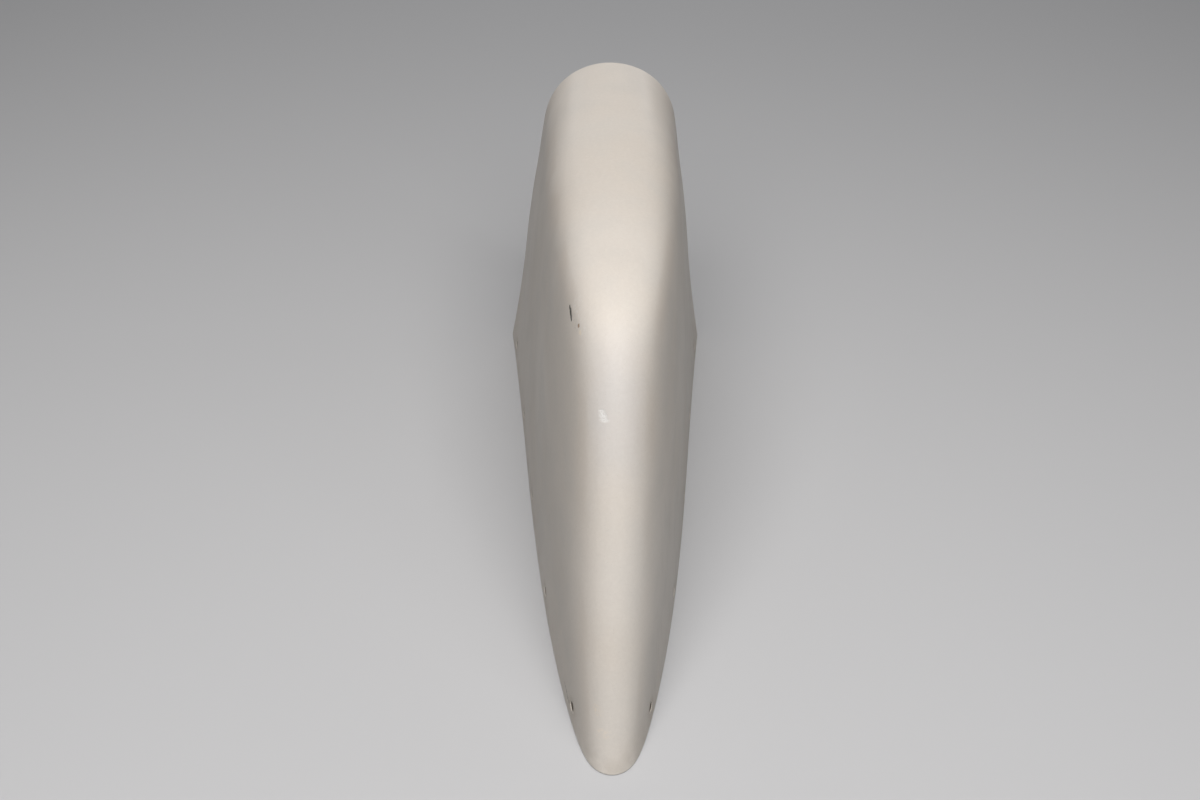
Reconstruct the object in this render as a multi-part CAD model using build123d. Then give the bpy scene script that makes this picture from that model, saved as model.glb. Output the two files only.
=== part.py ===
from build123d import *
import math
import os

# Vertical fin tip: a one-piece moulded plastic cap that closes the top of an
# aircraft's vertical fin.  It is a thin shell, open underneath, that narrows
# from a wide flat aft end to a slim swept leading edge.
#
# Frame (mm): the nose points along -Y, the aft end along +Y, X is across,
# Z is up.  The origin is the middle of the base rim's bounding rectangle.
# s is the distance back from the nose tip at base level, so y = s - LENGTH / 2.

# ---------------------------------------------------------------- dimensions
LENGTH = 240.0          # base rim, nose tip to aft end
HEIGHT = 136.1          # base rim to the top at the aft end
WALL = 2.3              # moulded sheet thickness
SWEEP_DEG = 25.0        # leading edge, lean back from the vertical
BEND_SET_BACK = 14.0    # how far the rounded bend sits inside the sharp corner
LEAD_FULLNESS = 9.0     # (half width)^2 per mm behind the leading edge
TOP_FULLNESS = 55.0     # (half width)^2 per mm below the top line
NOSE_BLUNTNESS = 0.419       # extra width just behind the leading edge
NOSE_BLUNT_LEN = (8.5, 23.4) # how far it reaches, at the base and higher up
NOSE_BLUNT_Z = 57.0          # height by which it has its full reach
CROWN_FULLNESS = 0.31        # extra width just under the top
CROWN_LEN = 13.7
CROWN_FADE_FROM = 162.0      # it dies out from here to the aft end
BODY_FACTOR = 0.961     # half width factor of the plain forward part of the body
RIM_FLARE = 0.072       # extra half width factor at the aft end of the base rim
FLARE_FROM = 130.0      # where that flare starts
AFT_EDGE_RADIUS = 1.6   # outside edge round the closed aft end
AFT_INSIDE_RADIUS = 1.4   # in the corner between the aft web and the walls
RIM_RADIUS = 0.5          # trimmed and eased lower edge, inside and outside

HOLE_R = 1.6            # fixing screw holes through both side walls
HOLE_Z = 6.4            # above the rim
HOLE_S = (22.0, 72.0, 122.0, 172.0, 222.0)
EASE_R = 1.85             # each hole is eased at the outer face by a 45 degree cone
EASE_DEPTH, EASE_RISE = 0.45, 0.8

# Half width factor up the aft end: flared at the rim, drawn in half way up,
# full at the rounded top.
AFT_FACTORS = (
    (-30.0, 1.070), (-15.0, 1.053), (0.0, 1.033), (10.8, 1.004), (18.2, 0.984),
    (25.0, 0.967), (32.2, 0.952), (39.0, 0.940), (52.0, 0.925), (64.0, 0.915),
    (75.0, 0.904), (85.0, 0.893), (95.0, 0.886), (103.0, 0.897), (110.4, 0.925),
    (118.0, 0.970), (124.0, 0.998), (130.0, 1.020), (138.0, 1.040), (150.0, 1.045),
)

TAN = math.tan(math.radians(SWEEP_DEG))

# The ridge (leading edge, bend and top line) is one branch of a hyperbola
# whose asymptotes are the swept leading edge and the level top.
_len = math.hypot(1 - math.sin(math.radians(SWEEP_DEG)),
                  math.cos(math.radians(SWEEP_DEG)))
_q = math.cos(math.radians(SWEEP_DEG)) / _len * BEND_SET_BACK
_p = (1 - math.sin(math.radians(SWEEP_DEG))) / _len * BEND_SET_BACK + TAN * _q
RIDGE_K = _p * _q
TOP_Z = HEIGHT
for _ in range(20):
    LEAD_S0 = -RIDGE_K / TOP_Z
    TOP_Z = HEIGHT + RIDGE_K / (LENGTH - LEAD_S0 - TAN * HEIGHT)


def pq(s, z):
    """Distance behind the leading line and distance below the top line."""
    return s - LEAD_S0 - TAN * z, TOP_Z - z


def ridge_field(s, z):
    """(half width)^2 before the factors; zero along the ridge."""
    p, q = pq(s, z)
    u, v = LEAD_FULLNESS * p, TOP_FULLNESS * q
    c = 2 * RIDGE_K * LEAD_FULLNESS * TOP_FULLNESS
    return u + v - math.sqrt(u * u + v * v + c)


def _slopes(table):
    n = len(table)
    h = [table[i + 1][0] - table[i][0] for i in range(n - 1)]
    d = [(table[i + 1][1] - table[i][1]) / h[i] for i in range(n - 1)]
    m = [d[0]]
    for i in range(1, n - 1):
        m.append((d[i - 1] * h[i] + d[i] * h[i - 1]) / (h[i - 1] + h[i]))
    m.append(d[-1])
    return m


_AFT_M = _slopes(AFT_FACTORS)


def aft_factor(z):
    """Smooth curve through AFT_FACTORS."""
    t = AFT_FACTORS
    z = min(max(z, t[0][0]), t[-1][0])
    i = 0
    while i < len(t) - 2 and z > t[i + 1][0]:
        i += 1
    h = t[i + 1][0] - t[i][0]
    w = (z - t[i][0]) / h
    w2, w3 = w * w, w * w * w
    return ((2 * w3 - 3 * w2 + 1) * t[i][1] + (w3 - 2 * w2 + w) * h * _AFT_M[i]
            + (3 * w2 - 2 * w3) * t[i + 1][1] + (w3 - w2) * h * _AFT_M[i + 1])


def smooth(t):
    t = min(max(t, 0.0), 1.0)
    return t * t * (3 - 2 * t)


def half_width(s, z):
    """Half width of the outer surface at s and z."""
    g = ridge_field(s, z)
    if g <= 0:
        return 0.0
    p, q = pq(s, z)
    k = smooth(z / NOSE_BLUNT_Z)
    reach = NOSE_BLUNT_LEN[0] + (NOSE_BLUNT_LEN[1] - NOSE_BLUNT_LEN[0]) * k
    nose = 1 + NOSE_BLUNTNESS * math.exp(-max(p, 0.0) / reach)
    fade = 1 - smooth((s - CROWN_FADE_FROM) / (LENGTH - CROWN_FADE_FROM))
    crown = 1 + CROWN_FULLNESS * math.exp(-max(q, 0.0) / CROWN_LEN) * fade
    flare = max(s - FLARE_FROM, 0.0) / (LENGTH - FLARE_FROM)
    body = BODY_FACTOR + RIM_FLARE * flare * flare
    t = max((s - 90.0) / (LENGTH - 90.0), 0.0)
    t = t * t * (1.75 - 0.75 * t) if t < 1 else 1.25 * t - 0.25
    draw_in = (aft_factor(z) / AFT_FACTORS[2][1] - 1) * t
    return body * (1 + draw_in) * nose * crown * math.sqrt(g)


# ------------------------------------------------------------ surface points
# Half planes through a line across the body, below and behind the aft end,
# each cut the body in one arch.  The arches are the rows of the surface.
PIVOT_S, PIVOT_Z, PIVOT_R = LENGTH + 24.0, -20.0, 12.0
FAN_DEG = (0.0, 89.0)
ROWS, COLS = 57, 61


def ridge_distance(cx, cz):
    """Distance from the pivot to the ridge along a fan direction."""
    lo, hi = PIVOT_R, 420.0
    for _ in range(60):
        mid = (lo + hi) / 2
        s, z = PIVOT_S - cx * mid, PIVOT_Z + cz * mid
        p, q = pq(s, z)
        if p > 0 and q > 0 and p * q > RIDGE_K:
            lo = mid
        else:
            hi = mid
    return (lo + hi) / 2


def outer_grid():
    rows = []
    b = 0.16
    for i in range(ROWS):
        a = math.radians(FAN_DEG[0] + (FAN_DEG[1] - FAN_DEG[0]) * i / (ROWS - 1))
        cx, cz = math.cos(a), math.sin(a)
        far = ridge_distance(cx, cz)
        row = []
        for j in range(COLS):
            t = -1 + 2 * j / (COLS - 1)
            d = (far - PIVOT_R) * (math.sqrt(b * b + t * t * (1 + 2 * b)) - b)
            r = far - d
            s, z = PIVOT_S - cx * r, PIVOT_Z + cz * r
            x = 0.0 if j == (COLS - 1) // 2 else math.copysign(half_width(s, z), t)
            row.append((x, s - LENGTH / 2, z))
        rows.append(row)
    return rows


def sub(a, b):
    return (a[0] - b[0], a[1] - b[1], a[2] - b[2])


def inward(grid, depth):
    """The same grid moved inwards by depth along its normals."""
    out = []
    n, m = len(grid), len(grid[0])
    for i in range(n):
        row = []
        for j in range(m):
            du = sub(grid[min(i + 1, n - 1)][j], grid[max(i - 1, 0)][j])
            dv = sub(grid[i][min(j + 1, m - 1)], grid[i][max(j - 1, 0)])
            c = (du[1] * dv[2] - du[2] * dv[1], du[2] * dv[0] - du[0] * dv[2],
                 du[0] * dv[1] - du[1] * dv[0])
            k = math.sqrt(c[0] ** 2 + c[1] ** 2 + c[2] ** 2)
            c = (c[0] / k, c[1] / k, c[2] / k)
            # the inside is towards the middle plane and the pivot
            ref = sub((0.0, PIVOT_S - LENGTH / 2, PIVOT_Z), grid[i][j])
            if c[0] * ref[0] + c[1] * ref[1] + c[2] * ref[2] < 0:
                c = (-c[0], -c[1], -c[2])
            g = grid[i][j]
            x = 0.0 if j == (m - 1) // 2 else g[0] + c[0] * depth
            row.append((x, g[1] + c[1] * depth, g[2] + c[2] * depth))
        out.append(row)
    return out


def body_under(grid, z_low, y_aft):
    """The solid under a surface, down to z_low and back to y_aft."""
    skin = Face.make_surface_from_array_of_points(grid, tol=0.01, min_deg=3, max_deg=5)
    y_low = -LENGTH / 2 - 30
    block = Pos(0, (y_low + y_aft) / 2, (z_low + HEIGHT + 30) / 2) * Box(
        160, y_aft - y_low, HEIGHT + 30 - z_low)
    pieces = block.solid().split(skin, keep=Keep.ALL)
    inside = Vector(0, 60, 30)
    return [p for p in pieces.solids() if p.is_inside(inside)][0]


grid = outer_grid()
outer = body_under(grid, 0.0, LENGTH / 2)
inner = body_under(inward(grid, WALL), -5.0, LENGTH / 2 - WALL)

# Round the outside edge of the closed aft end.
aft_edges = [e for e in outer.edges()
             if abs(e.center().Y - LENGTH / 2) < 0.01 and e.center().Z > 1]
rounded = outer.fillet(AFT_EDGE_RADIUS, aft_edges)

# Round the inside corner where the aft web meets the walls.
web_edges = [e for e in inner.edges()
             if abs(e.center().Y - (LENGTH / 2 - WALL)) < 0.01 and e.center().Z > 1
             and e.bounding_box().size.Y < 0.1]
inner = inner.fillet(AFT_INSIDE_RADIUS, web_edges)
shell = rounded - inner

# Screw holes: one drilling through both side walls at each station, with a
# small cone that eases the edge on each outer face.
for s in HOLE_S:
    y = s - LENGTH / 2
    x_out = half_width(s, HOLE_Z)
    shell -= Pos(0, y, HOLE_Z) * Rot(0, 90, 0) * Cylinder(HOLE_R, 2 * x_out + 20)
    rise = 2.0
    slope_s = (half_width(s + 0.1, HOLE_Z) - half_width(s - 0.1, HOLE_Z)) / 0.2
    slope_z = (half_width(s, HOLE_Z + 0.1) - half_width(s, HOLE_Z - 0.1)) / 0.2
    for side in (-1, 1):
        skin = Plane(origin=(side * x_out, y, HOLE_Z),
                     z_dir=(side, -slope_s, -slope_z))
        shell -= skin * Pos(0, 0, (EASE_RISE - EASE_DEPTH) / 2) * Cone(
            EASE_R - EASE_DEPTH, EASE_R + EASE_RISE, EASE_DEPTH + EASE_RISE)

# Ease both edges of the open rim.
shell = shell.solid()
rim_edges = [e for e in shell.edges()
             if abs(e.bounding_box().max.Z) < 0.02 and abs(e.bounding_box().min.Z) < 0.02]
shell = shell.fillet(RIM_RADIUS, rim_edges).solid()
os.makedirs("parts", exist_ok=True)
export_step(shell, "parts/fin_tip_shell.step")

box = shell.bounding_box()
print("volume cm3", round(shell.volume / 1000, 3), "valid", shell.is_valid)
print("box", box.min, box.max)
for s in HOLE_S:
    print("hole s", s, "outer half width", round(half_width(s, HOLE_Z), 3))
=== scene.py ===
import math
import bpy
from mathutils import Matrix, Vector

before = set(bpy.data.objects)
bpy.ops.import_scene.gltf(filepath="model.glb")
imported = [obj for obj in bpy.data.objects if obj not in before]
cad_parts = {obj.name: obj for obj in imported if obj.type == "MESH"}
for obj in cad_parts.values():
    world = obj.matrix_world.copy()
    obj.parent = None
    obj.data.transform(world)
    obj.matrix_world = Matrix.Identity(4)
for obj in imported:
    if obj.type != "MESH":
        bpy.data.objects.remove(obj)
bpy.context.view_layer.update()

scene = bpy.context.scene
scene.view_settings.view_transform = "Standard"
scene.view_settings.look = "None"

# ------------------------------------------------------------------- camera
cam_data = bpy.data.cameras.new("camera")
cam_data.sensor_fit = "HORIZONTAL"
cam_data.sensor_width = 36.0
cam_data.lens = 36.0 * 1153.3 / 1200.0
cam_data.dof.use_dof = False
cam_data.clip_start = 0.01
cam = bpy.data.objects.new("camera", cam_data)
scene.collection.objects.link(cam)
PITCH, YAW, ROLL = math.radians(39.30), math.radians(-1.016), math.radians(1.099)
cam.matrix_world = (Matrix.Translation((-0.00979, -0.32845, 0.32579))
                    @ Matrix.Rotation(YAW, 4, "Z")
                    @ Matrix.Rotation(math.pi / 2 - PITCH, 4, "X")
                    @ Matrix.Rotation(ROLL, 4, "Z"))
scene.camera = cam


# ------------------------------------------------------------- floor, light
def new_material(name):
    m = bpy.data.materials.new(name)
    m.use_nodes = True
    return m, m.node_tree, m.node_tree.nodes["Principled BSDF"]


mesh = bpy.data.meshes.new("floor")
mesh.from_pydata([(-9, -9, 0), (9, -9, 0), (9, 9, 0), (-9, 9, 0)], [], [(0, 1, 2, 3)])
floor = bpy.data.objects.new("floor", mesh)
scene.collection.objects.link(floor)
floor_mat, _, b = new_material("floor")
b.inputs["Base Color"].default_value = (0.56, 0.565, 0.58, 1)
b.inputs["Roughness"].default_value = 0.9
b.inputs["Specular IOR Level"].default_value = 0.1
floor.data.materials.append(floor_mat)
floor.visible_diffuse = False      # its light would flatten the side walls

world = bpy.data.worlds.new("world")
scene.world = world
world.use_nodes = True
world.node_tree.nodes["Background"].inputs["Color"].default_value = (0.97, 0.98, 1.0, 1)
world.node_tree.nodes["Background"].inputs["Strength"].default_value = 0.09


def area(name, azimuth, elevation, distance, size, power, colour=(1, 1, 1), target=(0, 0, 0.07)):
    """A soft box; azimuth 0 is in front of the nose, positive to +X."""
    a, e = math.radians(azimuth), math.radians(elevation)
    target = Vector(target)
    place = target + distance * Vector((math.sin(a) * math.cos(e), -math.cos(a) * math.cos(e), math.sin(e)))
    d = bpy.data.lights.new(name, "AREA")
    d.shape = "RECTANGLE"
    d.size, d.size_y = size
    d.energy = power
    d.color = colour
    o = bpy.data.objects.new(name, d)
    o.location = place
    o.rotation_euler = (target - place).to_track_quat("-Z", "Y").to_euler()
    scene.collection.objects.link(o)
    return o


area("key", -3, 55, 0.85, (0.80, 0.60), 6.7, (1.0, 0.982, 0.965))
area("high", 0, 76, 0.95, (0.80, 0.60), 2.3, (1.0, 0.96, 0.915))
area("front", 0, 32, 1.7, (1.8, 1.2), 0.6, (0.98, 0.99, 1.0))
area("back", 180, 9, 1.5, (1.2, 0.4), 3.6, (0.97, 0.985, 1.0))
area("left", -60, 6, 1.3, (1.0, 0.4), 1.15, (0.97, 0.985, 1.0))
area("right", 66, 8, 1.3, (1.0, 0.4), 0.30, (0.97, 0.985, 1.0))
area("strip_front", 52, 40, 1.3, (0.05, 0.8), 0.7)
area("strip_side", 98, 22, 1.3, (0.05, 0.6), 0.28)


# ------------------------------------------------------------------ nodes
class Graph:
    """Short forms for building a material's node tree."""

    def __init__(self, tree):
        self.t = tree

    def put(self, sock, v):
        if isinstance(v, bpy.types.NodeSocket):
            self.t.links.new(v, sock)
        elif isinstance(v, (tuple, list, Vector)):
            v = tuple(v)
            sock.default_value = v if len(v) == len(sock.default_value) else (*v, 1.0)
        else:
            sock.default_value = v

    def m(self, op, a, b=None, c=None, clamp=False):
        n = self.t.nodes.new("ShaderNodeMath")
        n.operation = op
        n.use_clamp = clamp
        for i, v in enumerate((a, b, c)):
            if v is not None:
                self.put(n.inputs[i], v)
        return n.outputs[0]

    def vm(self, op, a, b=None, out=0):
        n = self.t.nodes.new("ShaderNodeVectorMath")
        n.operation = op
        self.put(n.inputs[0], a)
        if b is not None:
            self.put(n.inputs[3 if op == "SCALE" else 1], b)
        return n.outputs[out]

    def xyz(self, v):
        n = self.t.nodes.new("ShaderNodeSeparateXYZ")
        self.put(n.inputs[0], v)
        return n.outputs[0], n.outputs[1], n.outputs[2]

    def noise(self, vec, scale, detail=3.0, rough=0.5, distortion=0.0):
        n = self.t.nodes.new("ShaderNodeTexNoise")
        self.put(n.inputs["Vector"], vec)
        n.inputs["Scale"].default_value = scale
        n.inputs["Detail"].default_value = detail
        n.inputs["Roughness"].default_value = rough
        n.inputs["Distortion"].default_value = distortion
        return n.outputs[0]

    def step(self, x, lo, hi, a=0.0, b=1.0):
        n = self.t.nodes.new("ShaderNodeMapRange")
        n.interpolation_type = "SMOOTHSTEP"
        self.put(n.inputs["Value"], x)
        for key, v in (("From Min", lo), ("From Max", hi), ("To Min", a), ("To Max", b)):
            n.inputs[key].default_value = v
        return n.outputs[0]

    def mix(self, fac, a, b, how="MIX"):
        n = self.t.nodes.new("ShaderNodeMix")
        n.data_type = "RGBA"
        n.blend_type = how
        self.put(n.inputs[0], fac)
        self.put(n.inputs[6], a)
        self.put(n.inputs[7], b)
        return n.outputs[2]

    def segment(self, p, a, b):
        """Distance from p to the line from a to b (all in the same stretched space)."""
        a, b = Vector(a), Vector(b)
        ab = b - a
        pa = self.vm("SUBTRACT", p, a)
        t = self.m("DIVIDE", self.vm("DOT_PRODUCT", pa, ab, 1), max(ab.length_squared, 1e-12), clamp=True)
        foot = self.vm("SCALE", ab, t)
        return self.vm("LENGTH", self.vm("SUBTRACT", pa, foot), out=1)


# ------------------------------------------------------- shell: moulded plastic
HOLE_Y = (-0.098, -0.048, 0.002, 0.052, 0.102)
HOLE_Z = 0.0064

mat, tree, bsdf = new_material("shell_paint")
g = Graph(tree)
P = tree.nodes.new("ShaderNodeTexCoord").outputs["Object"]
Nrm = tree.nodes.new("ShaderNodeNewGeometry").outputs["Normal"]
x, y, z = g.xyz(P)
nx, ny, nz = g.xyz(Nrm)
side = g.m("SIGN", x)

# which surfaces are outside: there the normal points away from the middle
# plane, or forward and up; the aft web is told by its place
away = g.m("ADD", g.m("MULTIPLY", nx, side), g.vm("DOT_PRODUCT", Nrm, (0.0, -0.6, 0.8), 1))
outer = g.m("MAXIMUM", g.step(away, -0.05, 0.05), g.m("MULTIPLY", g.step(y, 0.1186, 0.1190), g.step(ny, 0.3, 0.6)))
outer = g.m("MULTIPLY", outer, g.m("SUBTRACT", 1.0, g.m("MULTIPLY", g.step(y, 0.100, 0.101), g.step(g.m("MULTIPLY", ny, -1.0), 0.90, 0.95))))

broad = g.noise(P, 14.0, 2.0)
cloud = g.noise(P, 60.0, 4.0, 0.55)
grain = g.noise(P, 900.0, 4.0, 0.6)
speck = g.noise(P, 2600.0, 2.0, 0.5)

WARM = (0.660, 0.605, 0.545)
PALE = (0.700, 0.654, 0.604)
COOL = (0.620, 0.592, 0.555)
col = g.mix(g.step(broad, 0.35, 0.65), WARM, PALE)
col = g.mix(g.m("MULTIPLY", g.step(cloud, 0.40, 0.70), 0.35), col, COOL)
col = g.mix(g.m("MULTIPLY", g.step(grain, 0.35, 0.75), 0.16), col, (0.80, 0.76, 0.70))
col = g.mix(g.m("MULTIPLY", g.step(speck, 0.64, 0.72), 0.20), col, (0.42, 0.37, 0.31))

# long faint rub lines down the sides, as a shell gets in storage and handling
rub_p = g.vm("MULTIPLY", P, (120.0, 900.0, 26.0))
rub = g.step(g.noise(rub_p, 1.0, 5.0, 0.62), 0.50, 0.72)
rub_area = g.step(g.noise(P, 34.0, 3.0, 0.6, 0.6), 0.47, 0.68)
on_side = g.step(g.m("ABSOLUTE", nx), 0.90, 0.98)
right_more = g.step(x, -0.001, 0.001, 0.55, 1.0)
rub = g.m("MULTIPLY", g.m("MULTIPLY", rub, rub_area), g.m("MULTIPLY", on_side, right_more))
col = g.mix(g.m("MULTIPLY", rub, 0.34), col, (0.50, 0.47, 0.43))

# painted shade: a warm brown darkening where the top turns down into the sides, so the shading falls off faster at
# the shoulder
shoulder_shade = g.m("MULTIPLY", g.step(g.m("ABSOLUTE", nx), 0.72, 0.90), g.step(nz, 0.12, 0.30))
shoulder_shade = g.m("MULTIPLY", shoulder_shade, g.step(g.noise(P, 45.0, 3.0), 0.30, 0.66))
col = g.mix(g.m("MULTIPLY", shoulder_shade, 0.22), col, (0.52, 0.43, 0.35))

# painted reflection: the upper leading edge is made a shade cooler and greyer, the tint a white light gives on the
# gloss there
front = g.m("MULTIPLY", g.step(g.m("MULTIPLY", ny, -1.0), 0.40, 0.80), g.step(z, 0.078, 0.104))
col = g.mix(front, col, (0.935, 0.955, 0.995), "MULTIPLY")

# darker dust and grime near the rim and round the screw holes, a paler line along the very bottom edge, and a
# painted highlight on the lower lip of each hole
low = g.m("MULTIPLY", g.step(z, 0.0, 0.013, 1.0, 0.0), g.step(g.noise(P, 160.0, 4.0, 0.6), 0.36, 0.66))
col = g.mix(g.m("MULTIPLY", low, 0.30), col, (0.47, 0.42, 0.36))
rim = g.m("MULTIPLY", g.step(z, 0.0003, 0.0014, 1.0, 0.0), g.step(g.noise(P, 420.0, 3.0), 0.38, 0.58))
col = g.mix(g.m("MULTIPLY", rim, 0.55), col, (0.78, 0.74, 0.68))

ring = lit_lip_highlight = bore = 0.0
near = g.noise(P, 700.0, 3.0, 0.6)
for i, hy in enumerate(HOLE_Y):
    dy = g.m("SUBTRACT", y, hy)
    dz = g.m("SUBTRACT", z, HOLE_Z)
    r = g.m("SQRT", g.m("ADD", g.m("MULTIPLY", dy, dy), g.m("MULTIPLY", dz, dz)))
    # inside each bore: painted shade with grime, coloured near black further down
    bore = g.m("MAXIMUM", bore, g.step(r, 0.00161, 0.00168, 1.0, 0.0))
    # painted highlight: the lower edge of each hole is painted pale, where light catches it
    under = g.step(dz, -0.0012, 0.0006, 1.0, 0.25)
    r = g.m("ADD", r, g.m("MULTIPLY", g.m("SUBTRACT", near, 0.5), 0.0014))
    ring = g.m("MAXIMUM", ring, g.step(r, 0.0019, 0.0046, 1.0, 0.0))
    lit_lip_highlight = g.m("MAXIMUM", lit_lip_highlight, g.m("MULTIPLY", under, g.step(r, 0.0020, 0.0026, 1.0, 0.0)))
ring = g.m("MULTIPLY", ring, outer)
col = g.mix(g.m("MULTIPLY", ring, 0.20), col, (0.43, 0.36, 0.29))
# painted highlight on the lower lip of each hole
col = g.mix(g.m("MULTIPLY", lit_lip_highlight, 0.60), col, (0.80, 0.75, 0.68))

# single marks: (from, to, radius, edge, colour, amount, broken), millimetres
MARKS = [
    ((-14.51, -33.26, 121.71), (-13.92, -38.06, 119.81), 0.55, 0.35, (0.03, 0.028, 0.026), 0.95, 0.0),
    ((-14.21, -34.86, 121.46), (-14.02, -37.11, 120.30), 0.80, 0.50, (0.03, 0.028, 0.026), 0.75, 0.3),
    ((-12.45, -35.52, 124.74), (-10.59, -45.51, 121.33), 2.90, 2.60, (0.74, 0.72, 0.69), 0.55, 0.9),
    ((-13.33, -38.13, 121.37), (-11.96, -43.18, 120.57), 2.40, 1.80, (0.47, 0.45, 0.42), 0.45, 0.9),
    ((-11.66, -42.90, 121.44), (-11.66, -43.30, 121.12), 0.55, 0.35, (0.3, 0.19, 0.11), 0.85, 0.2),
    ((-11.28, -44.99, 120.48), (-11.08, -45.71, 120.24), 0.75, 0.50, (0.8, 0.68, 0.5), 0.42, 0.4),
    ((-4.58, -65.20, 106.20), (-4.30, -65.90, 105.30), 0.75, 0.55, (0.91, 0.91, 0.90), 0.50, 0.8),
    ((-4.30, -66.20, 104.90), (-3.70, -67.00, 104.00), 0.95, 0.75, (0.91, 0.91, 0.90), 0.50, 0.8),
    ((-28.61, 8.97, 38.90), (-28.57, 8.01, 38.18), 0.70, 0.50, (0.84, 0.82, 0.78), 0.70, 0.3),
    ((-28.80, 7.26, 33.78), (-28.78, 6.79, 33.40), 0.70, 0.50, (0.84, 0.82, 0.78), 0.60, 0.3),
    ((19.90, -38.53, 74.07), (19.82, -39.52, 73.19), 0.65, 0.50, (0.84, 0.82, 0.78), 0.65, 0.3),
    ((20.38, -42.69, 61.15), (20.31, -43.42, 60.55), 0.65, 0.50, (0.84, 0.82, 0.78), 0.60, 0.3),
    ((-16.99, -76.95, 19.17), (-16.98, -77.28, 18.29), 0.60, 0.45, (0.8, 0.7, 0.58), 0.60, 0.3),
    ((-13.41, -91.75, 20.56), (-13.41, -91.97, 19.88), 0.60, 0.45, (0.82, 0.76, 0.68), 0.50, 0.3),
    ((-15.60, -88.15, 5.94), (-14.28, -93.93, 4.88), 0.55, 0.45, (0.2, 0.18, 0.16), 0.80, 0.7),
    ((-14.59, -93.08, 4.40), (-14.15, -95.00, 4.50), 0.70, 0.55, (0.26, 0.23, 0.2), 0.70, 0.7),
    ((-5.29, -108.34, 20.46), (-4.92, -109.42, 18.76), 1.50, 1.20, (0.78, 0.68, 0.54), 0.40, 0.9),
    ((-3.64, -112.56, 13.78), (-3.42, -113.49, 12.06), 1.60, 1.30, (0.8, 0.7, 0.57), 0.38, 0.9),
]
SQUEEZE = Vector((0.25, 1.0, 1.0))
flat = g.vm("MULTIPLY", P, SQUEEZE)
edge_noise = g.m("SUBTRACT", g.noise(P, 1500.0, 3.0, 0.6), 0.5)
tear = g.noise(P, 1100.0, 4.0, 0.65)
flake = g.noise(P, 2100.0, 3.0, 0.6)
scarred = 0.0
dug = 0.0
for a, b, radius, soft, colour, amount, broken in MARKS:
    a = Vector(a) * SQUEEZE * 0.001
    b = Vector(b) * SQUEEZE * 0.001
    d = g.m("ADD", g.segment(flat, a, b), g.m("MULTIPLY", edge_noise, 0.0006))
    k = g.step(d, (radius - soft) * 0.001, radius * 0.001, 1.0, 0.0)
    if colour[0] > 0.9:
        k = g.m("MULTIPLY", k, g.step(flake, 0.36, 0.56, 0.35, 1.0))
    elif broken:
        k = g.m("MULTIPLY", k, g.step(tear, 0.50 - 0.1 * (1 - broken), 0.50 + 0.12 * broken + 0.02, 1 - broken, 1.0))
    k = g.m("MULTIPLY", k, outer)
    col = g.mix(g.m("MULTIPLY", k, amount), col, colour)
    scarred = g.m("MAXIMUM", scarred, k)
    if colour[0] < 0.3 or colour[0] > 0.9:
        dug = g.m("MAXIMUM", dug, k)

# inside: unpainted laminate, greyer, with a faint weave of the moulding cloth
weave = g.m("MULTIPLY", g.m("SINE", g.m("MULTIPLY", y, 3600.0)), g.m("SINE", g.m("MULTIPLY", z, 3600.0)))
raw = g.mix(g.step(cloud, 0.35, 0.70), (0.50, 0.455, 0.385), (0.40, 0.365, 0.31))
raw = g.mix(g.step(weave, -0.6, 0.9, 0.0, 0.28), raw, (0.62, 0.58, 0.50))
raw = g.mix(g.m("MULTIPLY", g.step(grain, 0.45, 0.70), 0.25), raw, (0.30, 0.27, 0.22))
col = g.mix(outer, raw, col)
# painted shade with grime: the screw bores are painted near black, as the shaded inside of a hole looks
bore_shade_and_grime = g.mix(g.step(grain, 0.40, 0.66), (0.050, 0.040, 0.033), (0.115, 0.092, 0.074))
col = g.mix(g.m("MULTIPLY", bore, 0.94), col, bore_shade_and_grime)
g.put(bsdf.inputs["Base Color"], col)

rough = g.m("ADD", 0.47, g.m("MULTIPLY", g.step(cloud, 0.30, 0.75), 0.09))
rough = g.m("ADD", rough, g.m("MULTIPLY", g.step(grain, 0.3, 0.8), 0.05))
rough = g.m("ADD", rough, g.m("MULTIPLY", rub, 0.16))
rough = g.m("ADD", rough, g.m("MULTIPLY", g.m("MAXIMUM", scarred, ring), 0.20))
rough = g.m("ADD", rough, g.m("MULTIPLY", g.m("SUBTRACT", 1.0, outer), 0.35))
g.put(bsdf.inputs["Roughness"], g.m("MINIMUM", rough, 0.95))
bsdf.inputs["Specular IOR Level"].default_value = 0.16
bsdf.inputs["Coat Weight"].default_value = 0.09
bsdf.inputs["Coat Roughness"].default_value = 0.17
bsdf.inputs["Coat IOR"].default_value = 1.45

height = g.m("ADD", g.m("MULTIPLY", g.noise(P, 55.0, 2.0), 0.00006), g.m("MULTIPLY", grain, 0.000006))
height = g.m("SUBTRACT", height, g.m("MULTIPLY", dug, 0.00018))
height = g.m("SUBTRACT", height, g.m("MULTIPLY", rub, 0.000012))
height = g.m("ADD", height, g.m("MULTIPLY", g.m("MULTIPLY", g.m("SUBTRACT", 1.0, outer), weave), 0.00004))
bump = tree.nodes.new("ShaderNodeBump")
bump.inputs["Strength"].default_value = 0.6
bump.inputs["Distance"].default_value = 1.0
g.put(bump.inputs["Height"], height)
g.put(bsdf.inputs["Normal"], bump.outputs[0])

shell = bpy.data.objects["fin_tip_shell"]
for s in shell.material_slots:
    s.material = mat
